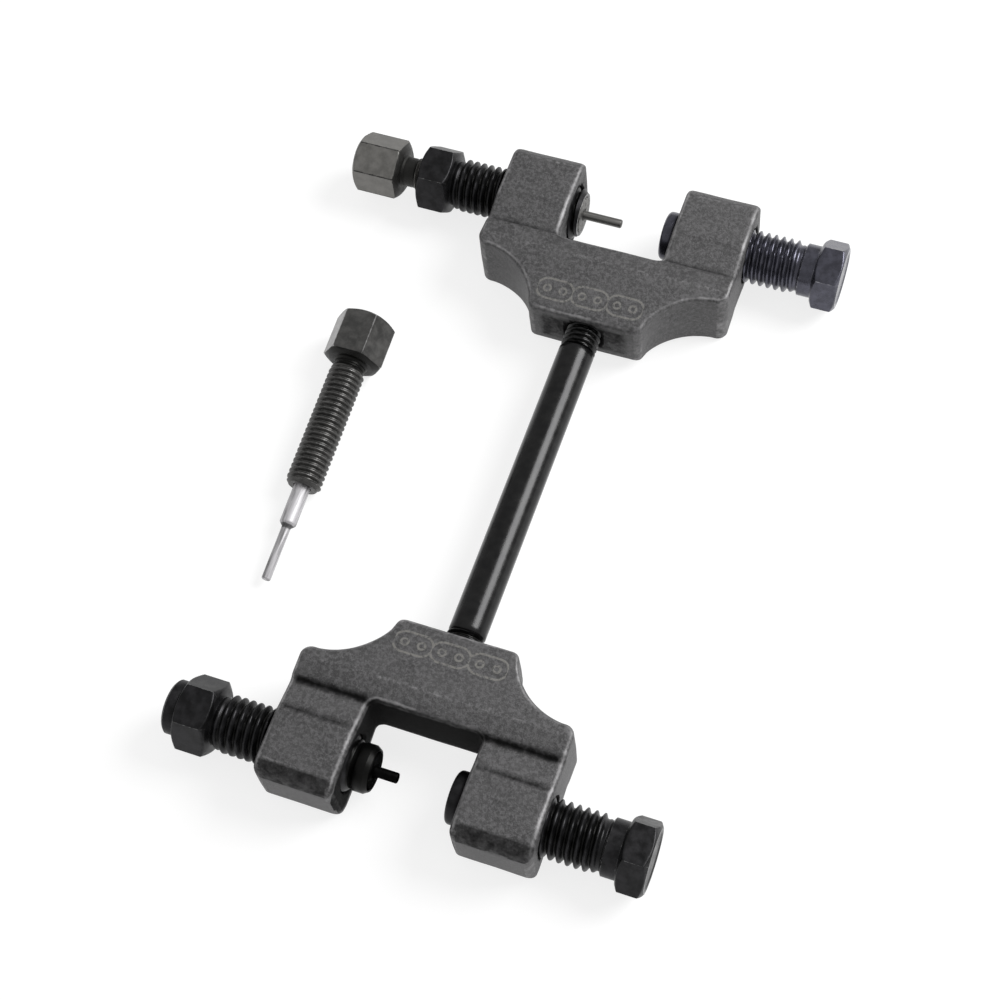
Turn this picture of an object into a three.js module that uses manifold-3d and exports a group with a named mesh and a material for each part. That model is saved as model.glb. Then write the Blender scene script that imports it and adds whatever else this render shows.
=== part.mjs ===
// A double-ended chain tool: two forged yokes joined by a rod. Each yoke carries a hollow screw with a pin
// screw inside it on one jaw and an anvil screw on the other. A spare pin screw lies beside the tool.
// Millimetres, +Z up. The tool lies flat: +Y runs along the rod to the upper yoke and +X from pin to anvil.
import * as THREE from "three";
import { mergeVertices } from "three/addons/utils/BufferGeometryUtils.js";
import Module from "manifold-3d";

const wasm = await Module();
wasm.setup();

// ---- Driving dimensions ----
const GAP = 0.15; // clearance around a piece that sits in a bore

const yokeSize = {
  cutSize: 80, // longer than any cut through the yoke
  halfWidth: 29, // jaw outer face from the middle
  gapHalf: 12, // jaw inner face from the middle
  bossHalf: 12.7, // half the width of the boss face
  gapFloor: 18.9, // boss face to the floor of the gap
  length: 40.2, // boss face to the jaw ends
  screwLine: 30.5, // boss face to the axis of the jaw screws
  scallopRadius: 15.3,
  scallopX: 27.5,
  scallopY: -3.4,
};
const HALF_THICK = 8.5; // jaw face above and below the screw axis
const YOKE_SPACING = 77.5; // between the two boss faces
const BORE_SIDES = 32;

const M12 = { radius: 6, pitch: 1.75, depth: 0.95, sides: 12 };
const M8 = { radius: 4, pitch: 1.25, depth: 0.65, sides: 9 };
const BIG_FLATS = 14; // across the flats of the hollow and anvil screws
const PIN_FLATS = 12; // across the flats of the pin screws
const BIG_TRIM = 0.35; // how far an end chamfer reaches in from the middle of a flat
const PIN_TRIM = 0.9;
const CHAMFER_SLOPE = Math.tan(Math.PI / 6);
const THREAD_LEAD = 0.1; // how far a thread's end chamfer goes below its root

const rodSize = { radius: 4, insert: 11, threadShown: 4.5 };
const hollowSize = { head: 7.4, bore: M8.radius + GAP, bush: 3.7, dogRadius: 5, dogLength: 5 };
const anvilSize = { length: 41.1, head: 5.8, shank: 3.5, shankRadius: 5.85, tipRound: 1 };
const padSize = { length: 3, radius: 3.2, hole: 1.6, holeDepth: 12 };
const pinScrew = { head: 11.4, neck: 2.5, neckRadius: 3.3, end: 41.4 };
const spareScrew = { ...pinScrew, end: 42.5 };
const shortScrew = { head: 2.6, headRadius: 5.7, end: 29.6, socketFlats: 4, socketDepth: 3 };
const longPin = { stemRadius: 1.85, stem: 9.2, tipRadius: 1, tip: 13.6, hold: 6 };
const sparePin = { ...longPin, stem: 9.5, tip: 12.7 };
const shortPin = { stemRadius: 1.85, stem: 10, tipRadius: 1.1, tip: 9.7, hold: 6 };

// Places along the screw axis, from the middle of the yoke; the pins point to +X.
const hollowHeadX = -48.8;
const upperTipX = -10.2;
const lowerTipX = -7.4;
const anvilTipX = 9.1;
const longPinHeadX = -65.2;
const shortPinHeadX = -51.7;
const spareX = -47.9;
const spareHeadY = 29.2;
const spareYaw = 1.1; // degrees that the spare's tip swings towards +X

// Turns of the hex heads about their own axes, in degrees from a corner along +Y.
const turn = { upperHollow: 9.5, upperPin: 28, upperAnvil: 18, lowerHollow: 7, lowerAnvil: 57, spare: 30 };

// ---- Solids and booleans ----
function solidOf(geometry) {
  const bare = geometry.clone();
  bare.deleteAttribute("normal");
  bare.deleteAttribute("uv");
  const merged = mergeVertices(bare, 1e-4);
  return new wasm.Manifold(
    new wasm.Mesh({
      numProp: 3,
      vertProperties: new Float32Array(merged.attributes.position.array),
      triVerts: new Uint32Array(merged.index.array),
    }),
  );
}

function geometryOf(solid) {
  const made = solid.getMesh();
  const geometry = new THREE.BufferGeometry();
  geometry.setAttribute("position", new THREE.BufferAttribute(made.vertProperties, 3));
  geometry.setIndex(new THREE.BufferAttribute(made.triVerts, 1));
  const flat = geometry.toNonIndexed();
  flat.computeVertexNormals();
  return flat;
}

// A turned solid about Z from [radius, z] pairs that start and end on the axis, lowest first.
function turned(profile, sides = BORE_SIDES) {
  const points = profile.map(([radius, z]) => new THREE.Vector2(radius, z));
  return solidOf(new THREE.LatheGeometry(points, sides).rotateX(Math.PI / 2));
}

function cylinder(radius, from, to, sides = BORE_SIDES) {
  return turned([[0, from], [radius, from], [radius, to], [0, to]], sides);
}

// A hexagonal prism with both ends chamfered at 30 degrees, from z = from to z = to.
function hexHead(flats, trim, from, to, turnDegrees) {
  const corner = flats / Math.sqrt(3);
  const prism = new THREE.CylinderGeometry(corner, corner, to - from, 6)
    .rotateX(Math.PI / 2)
    .rotateZ(THREE.MathUtils.degToRad(turnDegrees))
    .translate(0, 0, (from + to) / 2);
  const outer = corner + 0.5;
  const rim = flats / 2 - trim;
  const rise = (outer - rim) * CHAMFER_SLOPE;
  return solidOf(prism).intersect(
    turned([[0, from], [rim, from], [outer, from + rise], [outer, to - rise], [rim, to], [0, to]], 30),
  );
}

// A bar with a right-hand screw thread from z = from to z = to. One line of points runs along the crest and
// one along the root, each climbing one pitch a turn, and the blank trims both ends to a chamfer.
function threadedBar({ radius, pitch, depth, sides }, from, to) {
  const steps = Math.ceil(((to - from) / pitch + 3) * sides);
  const base = from - 1.5 * pitch;
  const positions = [];
  for (let k = 0; k <= steps; k++) {
    const angle = (2 * Math.PI * k) / sides;
    for (const [reach, lift] of [[radius, 0], [radius - depth, pitch / 2]]) {
      positions.push(reach * Math.cos(angle), reach * Math.sin(angle), base + (pitch * k) / sides + lift);
    }
  }
  const crest = (k) => 2 * k;
  const root = (k) => 2 * k + 1;
  const low = 2 * steps + 2;
  const high = low + 1;
  positions.push(0, 0, base - pitch, 0, 0, base + (pitch * steps) / sides + 2 * pitch);
  const faces = [];
  const quad = (a, b, c, d) => faces.push(a, b, c, a, c, d);
  for (let k = 0; k < steps; k++) {
    quad(crest(k), crest(k + 1), root(k + 1), root(k));
    if (k < steps - sides) quad(root(k), root(k + 1), crest(k + 1 + sides), crest(k + sides));
    if (k < sides) faces.push(crest(k + 1), crest(k), low);
    if (k >= steps - sides) faces.push(root(k), root(k + 1), high);
  }
  faces.push(root(0), crest(sides), low, crest(0), root(0), low);
  faces.push(root(steps), crest(steps), high, crest(steps), root(steps - sides), high);
  const helix = new THREE.BufferGeometry();
  helix.setAttribute("position", new THREE.Float32BufferAttribute(positions, 3));
  helix.setIndex(faces);
  const rim = radius - depth - THREAD_LEAD;
  const outer = radius + 0.3; // clear of the crest
  const chamfer = outer - rim;
  return solidOf(helix).intersect(
    turned([[0, from], [rim, from], [outer, from + chamfer], [outer, to - chamfer], [rim, to], [0, to]], 20),
  );
}

// ---- Yoke ----
// Half the plan outline on the +X side, from the boss face round to the middle of the gap floor.
function halfOutline() {
  const { halfWidth, gapHalf, bossHalf, gapFloor, length, scallopRadius, scallopX, scallopY } = yokeSize;
  const round = 1.5;
  const start = Math.acos(-Math.sqrt(1 - ((round - scallopY) / scallopRadius) ** 2));
  const path = new THREE.Path();
  path.moveTo(0, 0);
  path.lineTo(bossHalf - round, 0);
  const scallopFoot = scallopX + scallopRadius * Math.cos(start);
  path.quadraticCurveTo(bossHalf, 0, scallopFoot, round);
  path.absarc(scallopX, scallopY, scallopRadius, start, Math.PI / 2, true);
  path.quadraticCurveTo(halfWidth, scallopY + scallopRadius, halfWidth, scallopY + scallopRadius + round);
  path.lineTo(halfWidth, length - 1);
  path.quadraticCurveTo(halfWidth, length, halfWidth - 1, length);
  path.lineTo(gapHalf + 1, length);
  path.quadraticCurveTo(gapHalf, length, gapHalf, length - 1);
  path.lineTo(gapHalf, gapFloor + 1);
  path.quadraticCurveTo(gapHalf, gapFloor, gapHalf - 1, gapFloor);
  path.lineTo(0, gapFloor);
  return path.getPoints(5);
}

// The upper half of the side profile as [distance from the boss face, height above the screw axis].
function sideProfile() {
  const { gapFloor, length } = yokeSize;
  return [
    [0, 5.9],
    [0.6, 6.4],
    [14.3, 8.2], // ridge across the spine
    [gapFloor, 7.6], // groove at the foot of the jaws
    [26.2, HALF_THICK],
    [37.6, HALF_THICK],
    [39, 7.7],
    [length, 5.4],
  ];
}

function yoke() {
  const right = halfOutline();
  const left = right.slice(1, -1).reverse().map((p) => new THREE.Vector2(-p.x, p.y));
  const plan = new THREE.Shape([...right, ...left]);
  const { cutSize, screwLine } = yokeSize;
  const extrude = (shape) =>
    new THREE.ExtrudeGeometry(shape, { depth: cutSize, bevelEnabled: false }).translate(0, 0, -cutSize / 2);
  const top = sideProfile().map(([y, z]) => new THREE.Vector2(y, z));
  const bottom = [...top].reverse().map((p) => new THREE.Vector2(p.x, -p.y));
  const alongX = new THREE.Matrix4().makeBasis(
    new THREE.Vector3(0, 1, 0),
    new THREE.Vector3(0, 0, 1),
    new THREE.Vector3(1, 0, 0),
  );
  const side = extrude(new THREE.Shape([...bottom, ...top])).applyMatrix4(alongX);
  const screwBore = solidOf(
    new THREE.CylinderGeometry(M12.radius + GAP, M12.radius + GAP, cutSize, BORE_SIDES)
      .rotateZ(Math.PI / 2)
      .translate(0, screwLine, 0),
  );
  const rodBore = solidOf(
    new THREE.CylinderGeometry(rodSize.radius + GAP, rodSize.radius + GAP, rodSize.insert + 2, BORE_SIDES)
      .translate(0, (rodSize.insert + 2) / 2 - 1, 0),
  );
  return solidOf(extrude(plan)).intersect(solidOf(side)).subtract(screwBore).subtract(rodBore);
}

// ---- Rod, screws, bushes and pins, each along +Z ----
function tieRod() {
  const half = YOKE_SPACING / 2 + rodSize.insert - GAP;
  const thread = rodSize.insert + rodSize.threadShown;
  const plain = half - thread + 0.5;
  return cylinder(rodSize.radius, -plain, plain, 28)
    .add(threadedBar(M8, plain - 1.5, half))
    .add(threadedBar(M8, -half, -plain + 1.5));
}

// A hex-headed tube screw; with dog set, its tip is a plain stepped nose.
function hollowScrew(length, turnDegrees, dog) {
  const { head, bore, dogRadius, dogLength } = hollowSize;
  const threadEnd = dog ? length - dogLength + 1 : length;
  let screw = hexHead(BIG_FLATS, BIG_TRIM, 0, head, turnDegrees).add(threadedBar(M12, head - 1.5, threadEnd));
  if (dog) {
    const start = threadEnd - dogLength;
    const nose = [[0, start], [dogRadius, start], [dogRadius, length - 1], [dogRadius - 0.6, length]];
    screw = screw.add(turned([...nose, [0, length]]));
  }
  return screw.subtract(cylinder(bore, -1, length + 1, 28));
}

// A hardened ring pressed into the tip of a hollow screw; the pin slides through it.
function guideBush(tipRadius) {
  const outer = hollowSize.bore - GAP;
  const hole = cylinder(tipRadius + GAP, -1, hollowSize.bush + 1, 20);
  return cylinder(outer, 0, hollowSize.bush, 28).subtract(hole);
}

function anvilScrew(turnDegrees) {
  const { length, head, shank, shankRadius, tipRound } = anvilSize;
  const outer = M12.radius + 1;
  const tip = [[outer, head], [outer, length - tipRound], [M12.radius - tipRound, length]];
  return threadedBar(M12, head + shank - 1.5, length + 1)
    .intersect(turned([[0, head], ...tip, [0, length]]))
    .add(cylinder(shankRadius, head - 1, head + shank))
    .add(hexHead(BIG_FLATS, BIG_TRIM, 0, head, turnDegrees))
    .subtract(cylinder(padSize.radius + GAP, length - padSize.length - GAP, length + 1, 28))
    .subtract(cylinder(padSize.hole, length - padSize.holeDepth, length, 20));
}

// A hardened pad in the anvil's tip with a hole for the rivet that is pushed out.
function anvilPad() {
  const { length, radius, hole } = padSize;
  return cylinder(radius, 0, length, 28).subtract(cylinder(hole, -1, length + 1, 20));
}

function longPinScrew({ head, neck, neckRadius, end }, turnDegrees) {
  return hexHead(PIN_FLATS, PIN_TRIM, 0, head, turnDegrees)
    .add(cylinder(neckRadius, head - 1, head + neck + 1, 24))
    .add(threadedBar(M8, head + neck, end))
    .subtract(cylinder(longPin.stemRadius + GAP, end - longPin.hold - GAP, end + 1, 20));
}

function shortPinScrew() {
  const { head, headRadius, end, socketFlats, socketDepth } = shortScrew;
  const corner = socketFlats / Math.sqrt(3);
  const socket = new THREE.CylinderGeometry(corner, corner, socketDepth + 1, 6)
    .rotateX(Math.PI / 2)
    .translate(0, 0, (socketDepth - 1) / 2);
  return turned([[0, 0], [headRadius - 0.5, 0], [headRadius, 0.5], [headRadius, head], [0, head]])
    .add(threadedBar(M8, head - 1, end))
    .subtract(solidOf(socket))
    .subtract(cylinder(shortPin.stemRadius + GAP, end - shortPin.hold - GAP, end + 1, 20));
}

// A stepped pin: a thick stem, partly inside its screw, and a thin chamfered tip. z = 0 is the screw's end.
function steppedPin({ stemRadius, stem, tipRadius, tip, hold }) {
  const end = stem + tip;
  const profile = [
    [0, -hold],
    [stemRadius, -hold],
    [stemRadius, stem - 0.6],
    [tipRadius, stem],
    [tipRadius, end - 0.25],
    [tipRadius - 0.25, end],
    [0, end],
  ];
  return turned(profile, 20);
}

// ---- Materials ----
const finish = (name, color, roughness, metalness) =>
  new THREE.MeshStandardMaterial({ name, color, roughness, metalness });
const forged = finish("forged", 0x5a5a58, 0.65, 0.8);
const blackOxide = finish("black_oxide", 0x1e1e20, 0.45, 0.7);
const blackRod = finish("black_rod", 0x141416, 0.35, 0.7);
const greySteel = finish("grey_steel", 0x6e6c66, 0.5, 0.9);
const darkSteel = finish("dark_steel", 0x3a3a38, 0.45, 0.8);
const brightSteel = finish("bright_steel", 0xb4b2ae, 0.3, 1);

// ---- The assembly ----
const tool = new THREE.Group();

function place(parent, name, solid, material, z = 0) {
  const mesh = new THREE.Mesh(geometryOf(solid), material);
  mesh.name = name;
  mesh.position.z = z;
  parent.add(mesh);
  return mesh;
}

const bossY = YOKE_SPACING / 2;
const yokeSolid = yoke();
for (const [name, side] of [["yoke_upper", 1], ["yoke_lower", -1]]) {
  const mesh = place(tool, name, yokeSolid, forged, HALF_THICK);
  mesh.position.y = side * bossY;
  mesh.rotation.z = side > 0 ? 0 : Math.PI;
}

const rod = place(tool, "tie_rod", tieRod(), blackRod, HALF_THICK);
rod.rotation.x = -Math.PI / 2;

// A group whose own +Z is the screw axis of one yoke, running along +X.
function screwRow(side) {
  const row = new THREE.Group();
  row.position.set(0, side * (bossY + yokeSize.screwLine), HALF_THICK);
  row.rotation.y = Math.PI / 2;
  tool.add(row);
  return row;
}

// An anvil screw faces the other way, so its group is turned end for end.
function addAnvil(row, prefix, turnDegrees) {
  const turnedRow = new THREE.Group();
  turnedRow.rotation.x = Math.PI;
  row.add(turnedRow);
  const headX = anvilTipX + anvilSize.length;
  place(turnedRow, prefix + "_anvil_screw", anvilScrew(-turnDegrees), blackOxide, -headX);
  place(turnedRow, prefix + "_anvil_pad", anvilPad(), darkSteel, -anvilTipX - padSize.length);
}

const bushSeat = hollowSize.bush - GAP; // the bush stands a little proud of its screw's tip
const upper = screwRow(1);
const upperHollow = hollowScrew(upperTipX - hollowHeadX, turn.upperHollow, false);
place(upper, "upper_hollow_screw", upperHollow, blackOxide, hollowHeadX);
place(upper, "upper_guide_bush", guideBush(longPin.tipRadius), brightSteel, upperTipX - bushSeat);
place(upper, "upper_pin_screw", longPinScrew(pinScrew, turn.upperPin), greySteel, longPinHeadX);
place(upper, "upper_pin", steppedPin(longPin), brightSteel, longPinHeadX + pinScrew.end);
addAnvil(upper, "upper", turn.upperAnvil);

const lower = screwRow(-1);
const lowerHollow = hollowScrew(lowerTipX - hollowHeadX, turn.lowerHollow, true);
place(lower, "lower_hollow_screw", lowerHollow, blackOxide, hollowHeadX);
place(lower, "lower_guide_bush", guideBush(shortPin.tipRadius), darkSteel, lowerTipX - bushSeat);
place(lower, "lower_pin_screw", shortPinScrew(), blackOxide, shortPinHeadX);
place(lower, "lower_pin", steppedPin(shortPin), darkSteel, shortPinHeadX + shortScrew.end);
addAnvil(lower, "lower", turn.lowerAnvil);

// The spare lies on one flat of its head and on the end of its thread, so its axis dips towards the tip.
const spare = new THREE.Group();
const flatEdge = spareScrew.head - PIN_TRIM * CHAMFER_SLOPE;
const threadEdge = spareScrew.end - M8.depth - THREAD_LEAD;
const dip = Math.atan2(PIN_FLATS / 2 - M8.radius, threadEdge - flatEdge);
spare.rotation.set(Math.PI / 2 + dip, 0, THREE.MathUtils.degToRad(spareYaw), "ZYX");
spare.position.set(spareX, spareHeadY, (PIN_FLATS / 2) * Math.cos(dip) + flatEdge * Math.sin(dip));
tool.add(spare);
place(spare, "spare_pin_screw", longPinScrew(spareScrew, turn.spare), darkSteel);
place(spare, "spare_pin", steppedPin(sparePin), brightSteel, spareScrew.end);

// The origin is the middle of the object's footprint, on the surface that it lies on.
const middle = new THREE.Box3().setFromObject(tool).getCenter(new THREE.Vector3());
tool.position.set(-middle.x, -middle.y, 0);

export default tool;
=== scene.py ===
"""Looks for a double-ended chain tool: two forged yokes on a black rod, their screws, and a spare pin screw.

Each shape is drawn in millimetres, along its own axis, and placed in the CAD frame, which is in metres.
"""
import math
from functools import partial

import bpy
import numpy as np
from mathutils import Matrix, Vector, geometry, noise


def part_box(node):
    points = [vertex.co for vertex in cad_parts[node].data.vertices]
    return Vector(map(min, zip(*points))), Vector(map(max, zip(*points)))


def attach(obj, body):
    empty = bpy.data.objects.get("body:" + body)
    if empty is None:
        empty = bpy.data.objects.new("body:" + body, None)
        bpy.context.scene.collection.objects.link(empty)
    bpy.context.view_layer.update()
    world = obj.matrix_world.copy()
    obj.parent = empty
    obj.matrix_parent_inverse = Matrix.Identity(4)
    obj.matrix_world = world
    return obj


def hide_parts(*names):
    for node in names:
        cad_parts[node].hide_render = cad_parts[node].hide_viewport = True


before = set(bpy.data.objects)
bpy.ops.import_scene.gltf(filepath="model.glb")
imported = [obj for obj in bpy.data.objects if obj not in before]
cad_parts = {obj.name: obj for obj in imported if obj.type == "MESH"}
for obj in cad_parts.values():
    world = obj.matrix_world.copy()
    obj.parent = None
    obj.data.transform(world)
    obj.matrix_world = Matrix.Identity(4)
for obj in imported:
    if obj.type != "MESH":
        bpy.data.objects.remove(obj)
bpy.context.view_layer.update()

MM = 0.001

# ---- Driving dimensions, in millimetres, as in the CAD ----
CHAMFER_SLOPE = math.tan(math.radians(30))
BIG_FLATS, BIG_TRIM = 14.0, 0.35
PIN_FLATS, PIN_TRIM = 12.0, 0.9
BIG_RIM, PIN_RIM = BIG_FLATS / 2 - BIG_TRIM, PIN_FLATS / 2 - PIN_TRIM
M12 = {"radius": 6.0, "pitch": 1.75, "depth": 0.95}
M8 = {"radius": 4.0, "pitch": 1.25, "depth": 0.65}
M12_ROOT, M8_ROOT = (thread["radius"] - thread["depth"] for thread in (M12, M8))
BORE_GAP = 0.15

YOKE = {
    "half_width": 29.0, "gap_half": 12.0, "boss_half": 12.7, "gap_floor": 18.9, "length": 40.2,
    "screw_line": 30.5, "rod_depth": 12.0, "scallop_radius": 15.3, "scallop_x": 27.5, "scallop_y": -3.4,
}
# Places along a yoke, from the face of its boss: the ridge across the spine, the groove at the foot of the
# jaws, the step up to their flat tops, and the start of their rounded ends.
RIDGE_Y, GROOVE_Y, STEP_Y, END_Y = 14.3, 19.3, 26.6, 37.0
# Half the thickness of a yoke at places along it.
PROFILE = (
    (0, 6.0), (0.6, 6.4), (RIDGE_Y, 8.3), (GROOVE_Y - 0.8, 7.85), (GROOVE_Y, 7.1), (GROOVE_Y + 0.8, 7.2),
    (STEP_Y - 0.6, 8.2), (STEP_Y, 8.5), (END_Y, 8.5), (END_Y + 0.5, 8.3), (END_Y + 1.9, 7.35),
    (END_Y + 2.7, 6.6), (YOKE["length"], 5.6),
)
HOLLOW = {"head": 7.4, "bore": 4.15, "dog_radius": 5.0, "dog_length": 4.0, "bush": 3.7}
ANVIL = {
    "length": 41.1, "head": 5.8, "shank": 3.5, "shank_radius": 5.85, "plain_end": 2.6, "tip_radius": 5.5,
    "tip_round": 0.9, "pad_length": 3.0, "pad_radius": 3.2, "hole": 1.6, "hole_depth": 12.0,
}
PIN_SCREW = {"head": 11.4, "neck": 2.5, "neck_radius": 3.3, "end": 41.4}
SPARE_SCREW = {**PIN_SCREW, "neck": 1.0, "neck_radius": 3.5, "end": 42.5}
SHORT_SCREW = {"head": 2.6, "head_radius": 5.7, "end": 29.6, "socket_flats": 4.0, "socket_depth": 3.0}
# Pins: a stem's last part tapers, and hold is how far its other end goes into the screw.
STEM_BEVEL = 0.6
LONG_PIN = {"stem_radius": 1.85, "stem": 9.2, "tip_radius": 1.0, "tip": 13.6, "hold": 6.0}
SPARE_PIN = {**LONG_PIN, "stem": 9.5, "tip": 12.7}
SHORT_PIN = {"stem_radius": 1.85, "stem": 10.0, "tip_radius": 1.1, "tip": 9.7, "hold": 6.0}
SPARE_YAW = math.radians(1.1)
# Where each hex head has a corner, in degrees from +Y towards +Z, and for the spare from straight up.
TURN = {
    "upper_hollow": 9.5, "upper_pin": 28, "upper_anvil": 18, "lower_hollow": 7, "lower_anvil": 57,
    "spare": 30,
}

# ---- Marks of use and making ----
# How dark a yoke is painted at each place: painted shade and scale in the groove, painted shade on the line
# across the jaws and on their ends, painted shade and dirt in the gap. 1 is black.
SHADE_AND_SCALE = {
    "yoke_upper": {"groove": 0.55, "line": 0.0, "end": 0.0, "gap": 0.5},
    "yoke_lower": {"groove": 0.85, "line": 0.62, "end": 0.58, "gap": 1.1},
}
# The etched row of plain chain side plates, in millimetres. A plate's two holes are half_centres from its
# middle, and the row is from_boss away from the face of the boss.
ETCHED = {
    "plates": 3, "pitch": 8.0, "half_centres": 1.8, "end_radius": 2.35, "hole_radius": 0.75,
    "line": 0.17, "from_boss": 5.2, "strength": 0.7,
}


# ---- Node helpers ----
def new_material(name):
    material = bpy.data.materials.new(name)
    material.use_nodes = True
    tree = material.node_tree
    return material, tree, tree.nodes["Principled BSDF"]


def link(tree, value, socket):
    if isinstance(value, bpy.types.NodeSocket):
        tree.links.new(value, socket)
    else:
        socket.default_value = value


def math_node(tree, operation, a, b=0.0):
    made = tree.nodes.new("ShaderNodeMath")
    made.operation = operation
    for value, socket in zip((a, b), made.inputs):
        link(tree, value, socket)
    return made.outputs[0]


def remap(tree, value, low, high, to_low=0.0, to_high=1.0):
    made = tree.nodes.new("ShaderNodeMapRange")
    made.interpolation_type = "SMOOTHSTEP"
    for entry, socket in zip((value, low, high, to_low, to_high), made.inputs):
        link(tree, entry, socket)
    return made.outputs[0]


def mix_colour(tree, factor, a, b):
    """Goes from a to b, each a socket or a colour as three numbers."""
    made = tree.nodes.new("ShaderNodeMix")
    made.data_type = "RGBA"
    link(tree, factor, made.inputs[0])
    for colour, socket in ((a, made.inputs[6]), (b, made.inputs[7])):
        link(tree, (*colour, 1) if isinstance(colour, tuple) else colour, socket)
    return made.outputs[2]


def object_coords(tree):
    return tree.nodes.new("ShaderNodeTexCoord").outputs["Object"]


def stretched(tree, coords, scale):
    made = tree.nodes.new("ShaderNodeMapping")
    link(tree, coords, made.inputs["Vector"])
    made.inputs["Scale"].default_value = scale
    return made.outputs[0]


def grain(tree, coords, size_mm, detail, roughness=0.55):
    """Noise whose lumps are about size_mm across."""
    made = tree.nodes.new("ShaderNodeTexNoise")
    link(tree, coords, made.inputs["Vector"])
    made.inputs["Scale"].default_value = 1 / (size_mm * MM)
    made.inputs["Detail"].default_value = detail
    made.inputs["Roughness"].default_value = roughness
    return made.outputs[0]


def bump(tree, height, depth_mm):
    made = tree.nodes.new("ShaderNodeBump")
    made.inputs["Distance"].default_value = depth_mm * MM
    made.inputs["Strength"].default_value = 1.0
    link(tree, height, made.inputs["Height"])
    return made.outputs[0]


def attribute_mask(tree, coords, name, start, spread, size_mm, detail=5.0, broken=1.0):
    """A mesh attribute from start to start + spread, broken up by noise with lumps of size_mm."""
    attribute = tree.nodes.new("ShaderNodeAttribute")
    attribute.attribute_name = name
    speckle = grain(tree, coords, size_mm, detail, roughness=0.65)
    uneven = math_node(tree, "MULTIPLY", math_node(tree, "SUBTRACT", speckle, 0.5), broken)
    amount = math_node(tree, "ADD", attribute.outputs["Fac"], uneven)
    return remap(tree, amount, start, start + spread)


# ---- Materials ----
def forged_steel():
    """Grey mottled forging skin with black scale, dirt and painted shade in the hollows, and bare metal on
    rubbed edges.
    """
    material, tree, shader = new_material("forged_steel")
    coords = object_coords(tree)
    cloud = grain(tree, coords, size_mm=7.0, detail=5.0, roughness=0.65)
    mottle = grain(tree, coords, size_mm=0.8, detail=7.0, roughness=0.75)
    fine = grain(tree, coords, size_mm=0.3, detail=4.0, roughness=0.75)
    body = mix_colour(tree, remap(tree, cloud, 0.3, 0.7), (0.04, 0.0395, 0.0402), (0.062, 0.061, 0.0617))
    body = mix_colour(tree, remap(tree, mottle, 0.43, 0.6), body, (0.102, 0.1, 0.1025))
    body = mix_colour(tree, remap(tree, fine, 0.52, 0.68, 0.0, 0.5), body, (0.16, 0.157, 0.161))
    flakes = grain(tree, coords, size_mm=1.5, detail=6.0, roughness=0.75)
    body = mix_colour(tree, remap(tree, flakes, 0.56, 0.68, 0.0, 0.5), body, (0.022, 0.0215, 0.021))
    # The hollows, gap, bores and jaw lines go near black here: dirt and painted shade.
    dirt_and_shade = attribute_mask(tree, coords, "grime_and_shade", 0.15, 0.75, size_mm=2.2, detail=2.5, broken=0.55)
    body = mix_colour(tree, math_node(tree, "MULTIPLY", dirt_and_shade, 0.9), body, (0.008, 0.008, 0.008))
    worn = attribute_mask(tree, coords, "wear", 0.36, 0.75, size_mm=1.6)
    patches = remap(tree, grain(tree, coords, size_mm=9.0, detail=3.0, roughness=0.5), 0.38, 0.62, 0.2, 1.0)
    body = mix_colour(tree, math_node(tree, "MULTIPLY", worn, patches), body, (0.36, 0.355, 0.36))
    body = mix_colour(tree, etched_links(tree, coords), body, (0.2, 0.195, 0.18))
    link(tree, body, shader.inputs["Base Color"])
    link(tree, remap(tree, dirt_and_shade, 0.0, 1.0, 0.4, 0.95), shader.inputs["Metallic"])
    rough = remap(tree, mottle, 0.2, 0.8, 0.42, 0.66)
    link(tree, math_node(tree, "MAXIMUM", rough, dirt_and_shade), shader.inputs["Roughness"])
    height = math_node(tree, "ADD", mottle, math_node(tree, "MULTIPLY", fine, 0.4))
    link(tree, bump(tree, height, 0.13), shader.inputs["Normal"])
    return material


def etched_links(tree, coords):
    """Outlines of plain chain side plates in a row, etched on the sloped upper face of each yoke."""
    calc = partial(math_node, tree)
    pitch, half_row = ETCHED["pitch"], ETCHED["plates"] * ETCHED["pitch"] / 2
    low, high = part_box("yoke_upper")
    split = tree.nodes.new("ShaderNodeSeparateXYZ")
    link(tree, coords, split.inputs[0])
    x, y, z = (calc("MULTIPLY", axis, 1 / MM) for axis in split.outputs)
    x = calc("SUBTRACT", x, (low.x + high.x) / 2 / MM)
    y = calc("SUBTRACT", calc("ABSOLUTE", y), low.y / MM + ETCHED["from_boss"])
    whole_and_half = 2.5 * pitch  # keeps the sum above 0 and centres the middle plate
    in_plate = calc("MODULO", calc("ADD", x, whole_and_half), pitch)
    from_middle = calc("ABSOLUTE", calc("SUBTRACT", in_plate, pitch / 2))
    past_hole = calc("SUBTRACT", from_middle, ETCHED["half_centres"])

    def distance(dx):
        return calc("SQRT", calc("ADD", calc("POWER", dx, 2.0), calc("POWER", y, 2.0)))

    def ring(from_centre, radius):
        off = calc("ABSOLUTE", calc("SUBTRACT", from_centre, radius))
        return remap(tree, off, ETCHED["line"], ETCHED["line"] * 1.8, 1.0, 0.0)

    outline = ring(distance(calc("MAXIMUM", past_hole, 0.0)), ETCHED["end_radius"])
    hole = ring(distance(past_hole), ETCHED["hole_radius"])
    in_row = remap(tree, calc("ABSOLUTE", x), half_row, half_row + 0.05, 1.0, 0.0)
    upper_face = remap(tree, z, high.z / MM - 5, high.z / MM - 4)
    speckle = remap(tree, grain(tree, coords, size_mm=0.6, detail=4.0, roughness=0.6), 0.3, 0.55)
    lines = calc("MULTIPLY", calc("MAXIMUM", outline, hole), in_row)
    shown = calc("MULTIPLY", lines, calc("MULTIPLY", upper_face, speckle))
    return calc("MULTIPLY", shown, ETCHED["strength"])


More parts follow.
